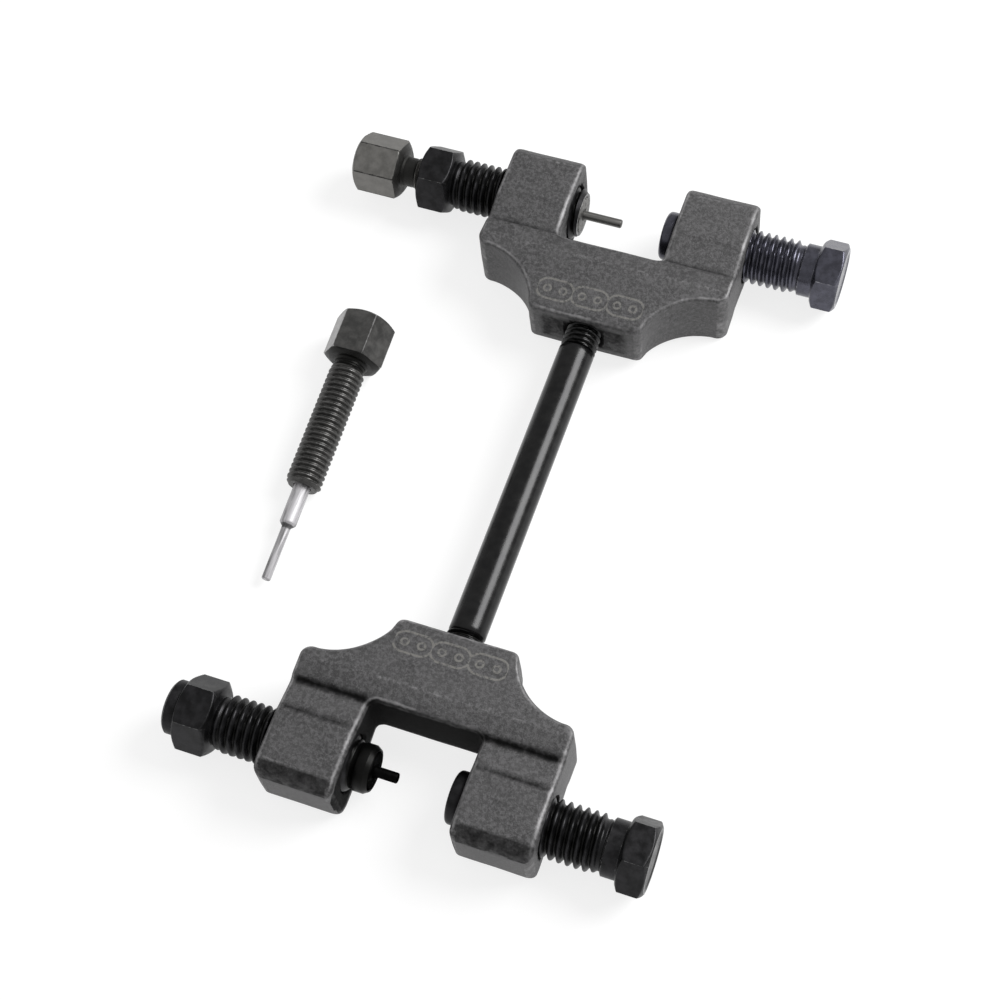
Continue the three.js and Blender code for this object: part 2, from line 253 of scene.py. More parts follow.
def oxide_steel(name, dark, light, bare, metallic=0.85, rough=(0.3, 0.46), wear_start=0.85, glance=1.0):
    """Blackened machined steel: a satin coat with faint clouding, bare on worn crests and corners, and near
    black where the mesh carries oil, dirt and painted shade.

    A glance under 1 dims the reflection at low angles."""
    material, tree, shader = new_material(name)
    coords = object_coords(tree)
    cloud = grain(tree, coords, size_mm=2.2, detail=4.0, roughness=0.6)
    fine = grain(tree, coords, size_mm=0.25, detail=3.0, roughness=0.6)
    body = mix_colour(tree, remap(tree, cloud, 0.3, 0.72), dark, light)
    # Near black where the mesh is darkened: oil, dirt and painted shade.
    painted_dark = attribute_mask(tree, coords, "grime_and_shade", 0.3, 0.5, size_mm=1.0)
    body = mix_colour(tree, math_node(tree, "MULTIPLY", painted_dark, 0.9), body, (0.006, 0.006, 0.0055))
    worn = attribute_mask(tree, coords, "wear", wear_start, 0.45, size_mm=0.8)
    link(tree, mix_colour(tree, worn, body, bare), shader.inputs["Base Color"])
    shader.inputs["Metallic"].default_value = metallic
    shader.inputs["Specular Tint"].default_value = (glance, glance, glance, 1)
    link(tree, remap(tree, cloud, 0.25, 0.75, *rough), shader.inputs["Roughness"])
    height = math_node(tree, "ADD", cloud, math_node(tree, "MULTIPLY", fine, 0.5))
    link(tree, bump(tree, height, 0.02), shader.inputs["Normal"])
    return material


def ground_steel(name, light, dark, along, metallic):
    """Bare steel with fine grinding marks and faint stains, drawn out along one axis."""
    material, tree, shader = new_material(name)
    coords = object_coords(tree)
    drawn = stretched(tree, coords, along)
    marks = grain(tree, drawn, size_mm=0.3, detail=4.0, roughness=0.7)
    stain = grain(tree, drawn, size_mm=0.9, detail=3.0, roughness=0.5)
    body = mix_colour(tree, remap(tree, stain, 0.4, 0.66), light, dark)
    # Darker where the mesh is darkened: dirt and painted shade.
    darkness = attribute_mask(tree, coords, "grime_and_shade", 0.3, 0.4, size_mm=0.8)
    body = mix_colour(tree, math_node(tree, "MULTIPLY", darkness, 0.8), body, (0.03, 0.03, 0.03))
    link(tree, body, shader.inputs["Base Color"])
    shader.inputs["Metallic"].default_value = metallic
    link(tree, remap(tree, marks, 0.3, 0.7, 0.48, 0.6), shader.inputs["Roughness"])
    link(tree, bump(tree, marks, 0.002), shader.inputs["Normal"])
    return material


# ---- Turned pieces ----
# Directions round the axis in degrees, closer together beside each corner so that hex edges stay crisp.
CORNER_STEPS = (0, 1.2, 2.8, 6, 12, 20, 30, 40, 48, 54, 57.2, 58.8)


def hex_angles(turn):
    return np.radians([turn + 60 * side + step for side in range(6) for step in CORNER_STEPS])


def round_angles(count):
    return np.arange(count) * 2 * math.pi / count


def hex_reach(angles, flats):
    """How far the sides of a hexagon are from its axis, with a corner at angle 0."""
    return flats / 2 / np.cos(angles % (math.pi / 3) - math.pi / 6)


def soft_min(a, b, width):
    """The smaller of a and b, with the corner where they cross rounded over width."""
    share = np.clip(0.5 + 0.5 * (b - a) / width, 0, 1)
    return b * (1 - share) + a * share - width * share * (1 - share)


class Turned:
    """Rows of points round an axis, from one end to the other, that close into one skin."""

    def __init__(self, angles):
        self.angles = angles
        self.rows = []

    def row(self, z, reach, wear=0.0, grime_and_shade=0.0):
        """Points at height z. Each of the rest is one number, or one for each direction."""
        around = np.zeros(len(self.angles))
        self.rows.append((z, *(around + value for value in (reach, wear, grime_and_shade))))

    def edge(self, z, radius, z_next, radius_next, wear=0.8):
        """A small worn bevel between two surfaces."""
        crown = 0.02
        self.row(z, radius, wear)
        self.row((z + z_next) / 2, (radius + radius_next) / 2 + crown, wear)
        self.row(z_next, radius_next, wear)

    def hexagon(self, flats, trim, height, turn, lighter_flat=None, dark_corners=False):
        """Six flats from 0 to height, cut by a cone at both ends and worn where the two meet.

        The flat whose direction is given, in degrees, is painted lighter all over. With dark_corners, the
        corners are painted dark in place of most of the wear."""
        corner_share, half_flat = 0.965, math.radians(29.5)
        ridge_width, rim_height, blend = 0.3, 0.05, 0.12
        reach = hex_reach(self.angles - math.radians(turn), flats)
        corner = flats / math.sqrt(3)
        worn_corner_painted_flat = np.clip((reach / corner - corner_share) / (1 - corner_share), 0, 1)
        if lighter_flat is not None:
            away = np.abs((self.angles - math.radians(lighter_flat) + math.pi) % (2 * math.pi) - math.pi)
            # One flat painted lighter all over, carried in the wear values.
            worn_corner_painted_flat = np.maximum(worn_corner_painted_flat, np.where(away < half_flat, 1.3, 0))
        steps = np.array([0, 0.04, 0.1, 0.18, 0.28, 0.4, 0.54, 0.7, 0.88, 1.1, 1.35, 1.7])
        middle = np.linspace(steps[-1], height - steps[-1], 5)[1:-1]
        for z in (*steps, *middle, *(height - steps[::-1])):
            from_end = min(z, height - z)
            cone = flats / 2 - trim + from_end / CHAMFER_SLOPE
            worn_ridge = np.clip(1 - np.abs(reach - cone) / ridge_width, 0, 1) * 0.75
            marked = np.maximum(worn_corner_painted_flat, worn_ridge)
            wear = np.maximum(marked, 0.7 if from_end < rim_height else 0.0)
            skin = soft_min(reach, cone, blend)
            if dark_corners:
                self.row(z, skin, wear * 0.6, marked * 0.8)
            else:
                self.row(z, skin, wear)

    def thread(self, spec, low, high, lead_in=True, run_out=True, shade_and_soot=0.75):
        """A right-hand thread with a chamfered far end, a fading near end and painted shade in its roots."""
        radius, pitch, depth = spec["radius"], spec["pitch"], spec["depth"]
        rows_per_pitch, crest, flank = 10, 0.16, 0.66
        for z in np.linspace(low, high, int((high - low) / pitch * rows_per_pitch) + 1):
            phase = (z / pitch - self.angles / (2 * math.pi)) % 1
            from_crest = np.abs(2 * phase - 1)
            straight = np.clip((from_crest - crest) / flank, 0, 1)
            eased = straight * straight * (3 - 2 * straight)
            cut = 0.35 * eased + 0.65 * straight
            fade = np.clip((z - low) / pitch, 0, 1) if run_out else 1.0
            reach = radius - depth * (1 - (1 - cut) * fade)
            if lead_in:
                reach = np.minimum(reach, radius - depth - 0.1 + (high - z))
            # Worn crests, and painted shade in the roots.
            on_crest, in_root = np.clip(1 - cut * 2.2, 0, 1), np.clip((cut - 0.4) / 0.4, 0, 1)
            self.row(z, reach, on_crest * fade * 0.66, in_root * fade * shade_and_soot)

    def mesh(self, name, matrix, hollow=False, painted_dark=(0, 0)):
        """Joins the rows. A hollow piece's last row joins its first; a solid one closes at both ends.

        The rows between the two given places are painted dark: oil and dirt, and under a screw head painted
        shade too."""
        count = len(self.angles)
        points, wear, grime_and_shade, faces = [], [], [], []
        for z, reach, worn, darkness in self.rows:
            dark = painted_dark[0] < z < painted_dark[1]
            points.extend(zip(reach * np.cos(self.angles), reach * np.sin(self.angles), np.full(count, z)))
            wear.extend(worn * (0.2 if dark else 1.0))
            grime_and_shade.extend(np.maximum(darkness, 1.0 if dark else 0.0))
        total = len(self.rows)
        for row in range(total if hollow else total - 1):
            here, after = row * count, ((row + 1) % total) * count
            for k in range(count):
                next_k = (k + 1) % count
                faces.append((here + k, here + next_k, after + next_k, after + k))
        if not hollow:
            for row, flip in ((0, True), (total - 1, False)):
                centre = len(points)
                points.append((0, 0, self.rows[row][0]))
                wear.append(0)
                grime_and_shade.append(0)
                for k in range(count):
                    pair = (row * count + k, row * count + (k + 1) % count)
                    faces.append((centre, *(pair[::-1] if flip else pair)))
        return finish_mesh(name, points, faces, wear, grime_and_shade, matrix)


def finish_mesh(name, points, faces, wear, grime_and_shade, matrix, sharp_degrees=38):
    """Makes an object from points in millimetres, put in place by matrix, with its wear and grime."""
    data = bpy.data.meshes.new(name)
    data.from_pydata([tuple(map(float, p)) for p in points], [], [tuple(map(int, f)) for f in faces])
    # The darkening attribute holds dirt, scale and painted shade.
    for key, values in (("wear", wear), ("grime_and_shade", grime_and_shade)):
        attribute = data.attributes.new(key, "FLOAT", "POINT")
        attribute.data.foreach_set("value", [float(v) for v in values])
    data.transform(matrix @ Matrix.Scale(MM, 4))
    data.shade_smooth()
    data.set_sharp_from_angle(angle=math.radians(sharp_degrees))
    data.update()
    piece = bpy.data.objects.new(name, data)
    bpy.context.scene.collection.objects.link(piece)
    return piece


def cut_away(piece, tool):
    """Cuts tool away from piece and throws tool away."""
    modifier = piece.modifiers.new("cut", "BOOLEAN")
    modifier.operation = "DIFFERENCE"
    modifier.solver = "MANIFOLD"
    modifier.object = tool
    view = bpy.context.evaluated_depsgraph_get()
    made = bpy.data.meshes.new_from_object(piece.evaluated_get(view))
    piece.modifiers.clear()
    piece.data = made
    bpy.data.objects.remove(tool)


def placement(origin, axis, side):
    """A frame whose own Z is axis and whose angles start along side."""
    axis = Vector(axis).normalized()
    side = Vector(side).normalized()
    other = axis.cross(side)
    columns = Matrix((side, other, axis)).transposed().to_4x4()
    columns.translation = Vector(origin)
    return columns


# ---- Screws ----
def hollow_screw(name, matrix, length, turn, dog):
    """The tube screw. One with a dog has a plain stepped nose after its thread."""
    piece = Turned(hex_angles(turn))
    head, bore = HOLLOW["head"], HOLLOW["bore"]
    painted_dark = (0, 0)
    piece.edge(0.25, bore, 0.0, bore + 0.25, 0.3)
    piece.row(0.0, BIG_RIM - 0.15, 0.5)
    piece.hexagon(BIG_FLATS, BIG_TRIM, head, turn)
    piece.row(head, M12_ROOT + 0.4)
    piece.row(head + 0.25, M12_ROOT)
    if dog:
        shoulder, reach = length - HOLLOW["dog_length"], HOLLOW["dog_radius"]
        painted_dark = (shoulder, length + 1)
        piece.thread(M12, head + 0.4, shoulder)
        piece.row(shoulder + 0.05, reach - 0.25)
        piece.row(shoulder + 0.7, reach - 0.25)
        piece.edge(shoulder + 0.95, reach - 0.1, shoulder + 1.1, reach, 0.5)
        piece.edge(length - 1.0, reach, length - 0.85, reach - 0.09, 0.7)
        piece.edge(length - 0.08, reach - 0.55, length, reach - 0.65, 0.7)
    else:
        piece.thread(M12, head + 0.4, length - 0.12)
        piece.row(length, M12_ROOT - 0.1, 1.1)
    piece.edge(length, bore + 0.2, length - 0.2, bore, 0.5 if dog else 1.1)
    return piece.mesh(name, matrix, hollow=True, painted_dark=painted_dark)


def plain_ring(name, matrix, hole, outer, length, bevels):
    """A ring with small bevels: its hole's near end, both ends of its outside, and its hole's far end."""
    near, outside, far = bevels
    piece = Turned(round_angles(48))
    piece.edge(near, hole, 0.0, hole + near)
    piece.edge(0.0, outer - outside, outside, outer)
    piece.edge(length - outside, outer, length, outer - outside)
    piece.edge(length, hole + far, length - far, hole)
    return piece.mesh(name, matrix, hollow=True)


def guide_bush(name, matrix, pin):
    return plain_ring(name, matrix, pin["tip_radius"] + BORE_GAP, HOLLOW["bore"] - BORE_GAP, HOLLOW["bush"],
                      (0.2, 0.25, 0.35))


def anvil_pad(name, matrix):
    return plain_ring(name, matrix, ANVIL["hole"], ANVIL["pad_radius"], ANVIL["pad_length"], (0.1, 0.2, 0.3))


def anvil_screw(name, matrix, turn, shade_and_soot):
    """Dished hex head, plain shank, thread, and a rounded tip with a seat for the pad."""
    piece = Turned(hex_angles(turn))
    head, shank, length = ANVIL["head"], ANVIL["shank"], ANVIL["length"]
    thick, tip, tip_round = ANVIL["shank_radius"], ANVIL["tip_radius"], ANVIL["tip_round"]
    socket, hole = ANVIL["pad_radius"] + BORE_GAP, ANVIL["hole"]
    piece.row(0.22, BIG_RIM - 1.5)
    piece.row(0.2, BIG_RIM - 1.1, 0.3)
    piece.row(0.0, BIG_RIM - 0.8, 0.8)
    piece.row(0.0, BIG_RIM - 0.15, 1.2)
    piece.hexagon(BIG_FLATS, BIG_TRIM, head, turn)
    piece.row(head, thick + 0.3, 0.2)
    piece.row(head + 0.3, thick, 0.95)
    piece.row(head + 0.7, thick, 0.3)
    piece.row(head + shank - 0.7, thick, 0.3)
    piece.edge(head + shank - 0.35, thick, head + shank, M12_ROOT + 0.2, 1.0)
    plain = length - ANVIL["plain_end"]
    piece.thread(M12, head + shank + 0.15, plain - 0.7, lead_in=False, shade_and_soot=shade_and_soot)
    piece.row(plain - 0.6, M12_ROOT + 0.1)
    piece.row(plain - 0.2, M12_ROOT + 0.1)
    piece.edge(plain, tip - 0.15, plain + 0.15, tip, 0.3)
    for angle in np.radians(range(0, 91, 15)):
        piece.row(length + tip_round * (math.sin(angle) - 1), tip + tip_round * (math.cos(angle) - 1), 0.35)
    piece.edge(length, socket + 0.15, length - 0.15, socket, 0.4)
    floor = length - ANVIL["pad_length"] - BORE_GAP
    piece.row(floor, socket)
    piece.row(floor, hole)
    piece.row(length - ANVIL["hole_depth"], hole)
    return piece.mesh(name, matrix)


def pin_seat(piece, end, pin):
    """The end face of a pin screw and the hole that its pin is pressed into."""
    bore = pin["stem_radius"] + BORE_GAP
    piece.row(end, M8_ROOT - 0.15, 0.5)
    piece.edge(end, bore + 0.15, end - 0.15, bore)
    piece.row(end - pin["hold"] - BORE_GAP, bore)


def long_pin_screw(name, matrix, spec, turn, lighter_flat=None):
    """The long pin screw: the spare has one flat painted lighter, and the other has dark corners."""
    piece = Turned(hex_angles(turn))
    head, neck, neck_radius, end = (spec[key] for key in ("head", "neck", "neck_radius", "end"))
    piece.row(0.0, PIN_RIM - 0.2, 0.5)
    piece.hexagon(PIN_FLATS, PIN_TRIM, head, turn, lighter_flat, dark_corners=lighter_flat is None)
    piece.row(head, neck_radius + 0.5)
    piece.row(head + 0.4, neck_radius + 0.1)
    piece.row(head + neck - 0.2, neck_radius + 0.1)
    piece.row(head + neck, M8_ROOT)
    piece.thread(M8, head + neck + 0.1, end - 0.1, shade_and_soot=0.4)
    pin_seat(piece, end, LONG_PIN)
    # Under the head and along the neck the screw is painted dark: painted shade and oil.
    return piece.mesh(name, matrix, painted_dark=(head - 0.75, head + neck + 0.9))


def short_pin_screw(name, matrix):
    """The short pin screw: a round head with a hex socket."""
    piece = Turned(hex_angles(0))
    head, reach, end = SHORT_SCREW["head"], SHORT_SCREW["head_radius"], SHORT_SCREW["end"]
    flats, depth = SHORT_SCREW["socket_flats"], SHORT_SCREW["socket_depth"]
    socket = hex_reach(piece.angles, flats)
    piece.row(depth, 0.4)
    piece.row(depth, socket)
    piece.row(0.3, socket)
    piece.row(0.0, flats / math.sqrt(3) + 0.35, 0.5)
    piece.edge(0.0, reach - 0.55, 0.5, reach, 0.7)
    piece.edge(head - 0.15, reach, head, reach - 0.15, 0.7)
    piece.row(head, M8_ROOT + 0.2)
    piece.thread(M8, head + 0.1, end - 0.1)
    pin_seat(piece, end, SHORT_PIN)
    return piece.mesh(name, matrix)


def stepped_pin(name, matrix, spec):
    """A thick stem that is held in the screw, and a thin tip that pushes the rivet."""
    piece = Turned(round_angles(40))
    stem, end, hold = spec["stem"], spec["stem"] + spec["tip"], spec["hold"]
    thick, thin = spec["stem_radius"], spec["tip_radius"]
    piece.edge(-hold, thick - 0.2, -hold + 0.2, thick)
    for z in (0.35, 0.6, stem - 1.1):
        piece.row(z, thick)
    piece.edge(stem - STEM_BEVEL - 0.15, thick, stem - STEM_BEVEL, thick - 0.12)
    piece.row(stem - 0.1, thin + 0.25)
    piece.row(stem, thin + 0.15)
    piece.row(stem + 0.25, thin)
    piece.row(stem + 0.9, thin)
    piece.edge(end - 0.25, thin, end - 0.05, thin - 0.15)
    piece.row(end, thin - 0.35, 0.3)
    return piece.mesh(name, matrix, painted_dark=(stem - 0.15, stem + 0.5))


def tie_rod(name, matrix, half, boss_y):
    """The rod along Y, with the last turns of its thread showing beside each boss."""
    low_shown, high_shown, plain_rows = 1.9, 4.3, 24
    low, high = low_shown - boss_y, boss_y - high_shown
    bar = M8["radius"] - 0.02
    piece = Turned(round_angles(64))
    piece.row(-half, M8_ROOT - 0.3)
    piece.thread(M8, -half, low, lead_in=False, run_out=False)
    piece.edge(low + 0.1, M8_ROOT + 0.2, low + 0.6, bar, 0.5)
    for z in np.linspace(low + 1.5, high - 1.5, plain_rows):
        piece.row(z, bar)
    piece.edge(high - 0.6, bar, high - 0.1, M8_ROOT + 0.2, 0.5)
    piece.thread(M8, high, half, lead_in=False, run_out=False)
    piece.row(half, M8_ROOT - 0.3)
    return piece.mesh(name, matrix)


# ---- Yokes ----
def rounded(corners):
    """A closed outline from (x, y, radius) corners, each turned by a smooth arc of that radius."""
    outline = []
    count, steps = len(corners), 7
    for index, (x, y, radius) in enumerate(corners):
        here = Vector((x, y))
        before = (Vector(corners[index - 1][:2]) - here).normalized()
        after = (Vector(corners[(index + 1) % count][:2]) - here).normalized()
        if radius == 0:
            outline.append(here)
            continue
        half_angle = before.angle(after) / 2
        back = radius / math.tan(half_angle)
        start, end = here + before * back, here + after * back
        centre = here + (before + after).normalized() * radius / math.sin(half_angle)
        for step in range(steps + 1):
            between = start.lerp(end, step / steps) - centre
            outline.append(centre + between.normalized() * radius)
    return outline


def yoke_corners():
    """Plan corners of the yoke, anticlockwise from the right of the boss face, where y is 0."""
    boss, half, gap = YOKE["boss_half"], YOKE["half_width"], YOKE["gap_half"]
    far, floor = YOKE["length"], YOKE["gap_floor"]
    radius, centre_x, centre_y = YOKE["scallop_radius"], YOKE["scallop_x"], YOKE["scallop_y"]
    start, end, steps = math.acos((boss - centre_x) / radius), math.pi / 2, 21
    scallop = []
    for step in range(3, steps - 1):
        angle = start + (end - start) * step / steps
        scallop.append((centre_x + radius * math.cos(angle), centre_y + radius * math.sin(angle), 0))
    right = [(boss + 0.1, 0, 2.0), *scallop, (half, centre_y + radius, 2.4), (half, far, 1.8)]
    right += [(gap, far, 1.7), (gap, floor, 1.7)]
    left = [(-x, y, r) for x, y, r in reversed(right)]
    return right + left


def resample(outline, spacing):
    """The same closed outline with its long sides cut into steps no longer than spacing."""
    points = []
    for a, b in zip(outline, outline[1:] + outline[:1]):
        steps = max(1, math.ceil((b - a).length / spacing))
        points += [a.lerp(b, step / steps) for step in range(steps) if (b - a).length > 1e-4]
    return points


def inward(points):
    """The direction into the outline at each of its points."""
    made = []
    count = len(points)
    for index in range(count):
        run = (points[(index + 1) % count] - points[index - 1]).normalized()
        made.append(Vector((-run.y, run.x)))
    return made


def convex_corners(outline):
    """How sharply the outline turns outward at each point, from 0 on a straight or hollow side to 1."""
    made = []
    count = len(outline)
    for index, here in enumerate(outline):
        before, after = here - outline[index - 1], outline[(index + 1) % count] - here
        turn = math.atan2(before.cross(after), before.dot(after))
        made.append(min(1.0, max(0.0, turn / (before.length + after.length) * 2 / 0.4)))
    return made


def profile_height(y):
    """Half the thickness at y, with the creases eased by averaging over a short span."""
    ys, zs = zip(*PROFILE)
    places = [y + 0.25 * k / 3 for k in range(-3, 4)]
    return sum(np.interp(place, ys, zs) for place in places) / len(places)


def blank_yoke(name, seed, shade_and_soot):
    """A forged yoke before machining: sloped faces, eased edges, a slight draft and an uneven skin."""
    draft, edge_steps, wall_steps, spacing = 0.014, 6, 7, 0.75
    edge_wear = (0.3, 0.6, 0.85, 0.65, 0.35, 0.15, 0.0)  # from the face round the edge to the wall
    outline = resample(rounded(yoke_corners()), spacing)
    count = len(outline)
    into = inward(outline)
    shift = Vector((seed * 37.0, seed * 11.0, 0))

    def edge_radius(point):
        """Edges are eased by about 0.9 mm, unevenly, and by more on the jaws."""
        lump = noise.noise(Vector((point.x, point.y, 0)) * 0.14 + shift)
        on_jaw = 0.25 if point.y > GROOVE_Y + 0.2 else 0.0
        return 0.9 + 0.25 * lump + on_jaw

    radii = [edge_radius(p) for p in outline]
    corner_wear = [0.55 * w for w in convex_corners(outline)]
    points, wear, faces, rings = [], [], [], []

    def add_edge(step, side):
        angle = math.pi / 2 * step / edge_steps
        rings.append(len(points))
        for p, n, r, marked in zip(outline, into, radii, corner_wear):
            at = p + n * r * (1 - math.sin(angle))
            z = profile_height(at.y) - r * (1 - math.cos(angle))
            at += n * draft * z
            points.append((at.x, at.y, side * z))
            at_end = 0.35 if p.y > YOKE["length"] - 0.9 else 1.0
            wear.append(max(edge_wear[step] * at_end, marked))

    def add_wall(level):
        rings.append(len(points))
        for p, n, r, marked in zip(outline, into, radii, corner_wear):
            z = (profile_height(p.y) - r) * (1 - 2 * level / wall_steps)
            at = p + n * draft * abs(z)
            points.append((at.x, at.y, z))
            wear.append(marked)

    for step in range(edge_steps + 1):
        add_edge(step, 1)
    for level in range(1, wall_steps):
        add_wall(level)
    for step in reversed(range(edge_steps + 1)):
        add_edge(step, -1)
    for upper, lower in zip(rings, rings[1:]):
        for k in range(count):
            after = (k + 1) % count
            faces.append((upper + after, upper + k, lower + k, lower + after))
    for start, side in ((rings[0], 1), (rings[-1], -1)):
        add_face_skin(points, wear, faces, start, count, side)
    grime_and_shade = [scale_and_shade_at(*p, shade_and_soot) for p in points]
    points = roughened(points, shift)
    return finish_mesh(name, points, faces, wear, grime_and_shade, Matrix.Identity(4), sharp_degrees=55)


def add_face_skin(points, wear, faces, start, count, side):
    """Fills the top or bottom of the yoke with small triangles that follow the side profile."""
    spacing = 0.8
    rim = [Vector(points[start + k][:2]) for k in range(count)]
    rim_array = np.array([tuple(p) for p in rim])
    low, high = rim_array.min(axis=0), rim_array.max(axis=0)
    rows = sorted({*np.arange(low[1], high[1], spacing), *(y for y, _ in PROFILE[1:-1])})
    inner = []
    for p in (Vector((x, y)) for y in rows for x in np.arange(low[0], high[0], spacing)):
        off = np.min(np.hypot(rim_array[:, 0] - p.x, rim_array[:, 1] - p.y))
        if off > spacing * 0.55 and inside(p, rim_array):
            inner.append(p)
    made = geometry.delaunay_2d_cdt(rim + inner, [], [list(range(count))], 1, 1e-5)
    verts, _, triangles, origins, _, _ = made
    place = {}
    for index, vert in enumerate(verts):
        source = origins[index][0]
        if source < count:
            place[index] = start + source
        else:
            place[index] = len(points)
            points.append((vert.x, vert.y, side * profile_height(vert.y)))
            wear.append(crease_wear(vert.y))
    for triangle in triangles:
        corners = [place[k] for k in triangle]
        a, b, c = (Vector(points[k][:2]) for k in corners)
        anticlockwise = (b - a).cross(c - a) > 0
        faces.append(corners if anticlockwise == (side > 0) else corners[::-1])


def crease_wear(y):
    """The ridges across the spine, the jaws and their ends are rubbed brighter than the faces beside them."""
    worn = (
        (RIDGE_Y, 0.5, 1.0), (GROOVE_Y - 0.9, 0.42, 0.3), (STEP_Y + 0.3, 0.42, 0.5), (END_Y - 0.1, 0.5, 0.4),
    )
    return max(amount * math.exp(-((y - at) / width) ** 2) for at, amount, width in worn)


def scale_and_shade_at(x, y, z, shade_and_soot):
    """How dark the yoke is painted: painted shade and scale in the groove, painted shade across the jaws, on
    their ends, in the gap and on the boss, with dirt in the gap and on the boss.

    The band between the ridge and the groove is a little darker than the rest."""
    def ramp(distance, span):
        return min(1.0, max(0.0, distance / span))

    depth = profile_height(y) - abs(z)
    from_side = ramp(YOKE["half_width"] - 0.5 - abs(x), 1.2)
    # Painted shade and scale along the groove at the foot of the jaws.
    groove_width = 0.5 + 0.7 * shade_and_soot["groove"]
    in_groove = shade_and_soot["groove"] * math.exp(-((y - GROOVE_Y - 0.1) / groove_width) ** 2) * from_side
    # Painted shade along the line below the step across the jaws.
    on_line = shade_and_soot["line"] * math.exp(-((y - STEP_Y + 1.0) / 1.1) ** 2) * from_side
    # Painted shade on the sloped ends of the jaws.
    on_end = shade_and_soot["end"] * ramp(y - END_Y + 0.1, 0.5) if depth < 1.0 else 0.0
    # Painted shade and dirt on the walls of the gap.
    by_gap = abs(x) < YOKE["gap_half"] + 0.7 and y > YOKE["gap_floor"] - 0.7
    in_gap = shade_and_soot["gap"] * ramp(depth - 0.6, 1.5) if by_gap else 0.0
    # Painted shade and dirt on the face of the boss, inside a lighter border.
    from_rim = min(YOKE["boss_half"] - 1.6 - abs(x), 5.6 - abs(z))
    on_boss = 0.6 * ramp(from_rim, 1.6) if y < 0.5 else 0.0
    in_band = 0.24 if RIDGE_Y + 0.5 < y < GROOVE_Y + 0.2 and depth < 1.5 else 0.0
    return max(in_groove, on_line, on_end, in_gap, on_boss, in_band)


def inside(p, rim):
    """Whether p lies inside a closed outline, by counting the sides to its right."""
    x0, y0 = rim[:, 0], rim[:, 1]
    x1, y1 = np.roll(x0, -1), np.roll(y0, -1)
    crosses = (y0 > p.y) != (y1 > p.y)
    with np.errstate(divide="ignore", invalid="ignore"):
        at = x0 + (p.y - y0) * (x1 - x0) / (y1 - y0)
    return bool(np.sum(crosses & (at > p.x)) % 2)


def roughened(points, shift):
    """Sinks the skin inward and towards the middle of the yoke, by the small uneven amounts of a forging."""
    middle, sideways = Vector((0, 22, 0)), 0.3
    lump_depth, ripple_depth = 0.09, 0.035
    made = []
    for p in points:
        v = Vector(p)
        lump = noise.noise(v * 0.22 + shift) * 0.5 + 0.5
        ripple = noise.noise(v * 0.8 + shift) * 0.5 + 0.5
        sink = lump_depth * lump + ripple_depth * ripple
        across = (middle - Vector((v.x, v.y, 0))).normalized() * sideways
        inward_step = across + Vector((0, 0, -1 if v.z > 0 else 1))
        made.append(v + inward_step * sink * min(1.0, abs(v.z) / 3))
    return made


def bore_tool(radius, low, high, pitch, matrix):
    """A cutter for a threaded hole: a bar with shallow ridges, and a collar at each end to countersink it."""
    tool = Turned(round_angles(48))
    collar, ridge, past = radius + 0.3, radius + 0.4, 3
    tool.row(low - past, collar)
    tool.row(low + 0.02, collar)
    tool.row(low + 0.32, radius)
    for z in np.arange(low + 0.8, high - 1.0, pitch):
        tool.row(z, radius)
        tool.row(z + pitch / 2, ridge)
    tool.row(high - 0.32, radius)
    tool.row(high - 0.02, collar)
    tool.row(high + past, collar)
    # The walls this cutter leaves are painted dark: painted shade and dirt.
    return tool.mesh("bore", matrix, painted_dark=(low - past - 1, high + past + 1))


def blacken(piece, from_axis, reach):
    """Painted shade and dirt in a bore: the vertices that a cut makes come without any, so they are given
    theirs here.
    """
    grime_and_shade, wear = (piece.data.attributes[key].data for key in ("grime_and_shade", "wear"))
    for vertex in piece.data.vertices:
        if from_axis(*(vertex.co / MM)) < reach:
            grime_and_shade[vertex.index].value = 1.0
            wear[vertex.index].value = 0.0


def yoke(node, side, seed, shade_and_soot):
    """One machined yoke: a forging with its two screw bores and the rod's bore cut and blackened."""
    piece = blank_yoke(node + "_forging", seed, shade_and_soot)
    screw_bore, rod_bore = M12["radius"] + BORE_GAP, M8["radius"] + BORE_GAP
    rod_collar, rod_depth, screw_line = M8["radius"] + 0.7, YOKE["rod_depth"], YOKE["screw_line"]
    inner, outer = YOKE["gap_half"], YOKE["half_width"]
    screw_matrix = placement(Vector((0, screw_line, 0)) * MM, (1, 0, 0), (0, 1, 0))
    for low, high in ((inner, outer), (-outer, -inner)):
        cut_away(piece, bore_tool(screw_bore, low, high, M12["pitch"], screw_matrix))
    rod = Turned(round_angles(48))
    rod.row(-3, rod_collar)
    rod.row(0.02, rod_collar)
    rod.row(0.6, rod_bore)
    rod.row(rod_depth, rod_bore)
    cut_away(piece, rod.mesh("rod_bore", placement((0, 0, 0), (0, 1, 0), (0, 0, 1))))

    def from_screw(x, y, z):
        return math.hypot(y - screw_line, z)

    def from_rod(x, y, z):
        return math.hypot(x, z) if y < rod_depth + 0.5 else math.inf

    blacken(piece, from_screw, screw_bore + 0.35)
    blacken(piece, from_rod, rod_collar + 0.05)
    low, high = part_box(node)
    boss = ((low.x + high.x) / 2, low.y if side > 0 else high.y, (low.z + high.z) / 2)
    turned = Matrix.Rotation(0 if side > 0 else math.pi, 4, "Z")
    piece.data.transform(Matrix.Translation(boss) @ turned)
    return piece


# ---- Assembly ----
def add(piece, body, node, slot, material=None):
    """Gives a piece its slot's material, or another one, and ties it to its body and CAD node."""
    piece.data.materials.clear()
    piece.data.materials.append(material or FINISHES[slot])
    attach(piece, body)
    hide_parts(node)


def box_middle(node):
    low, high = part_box(node)
    return (low + high) / 2


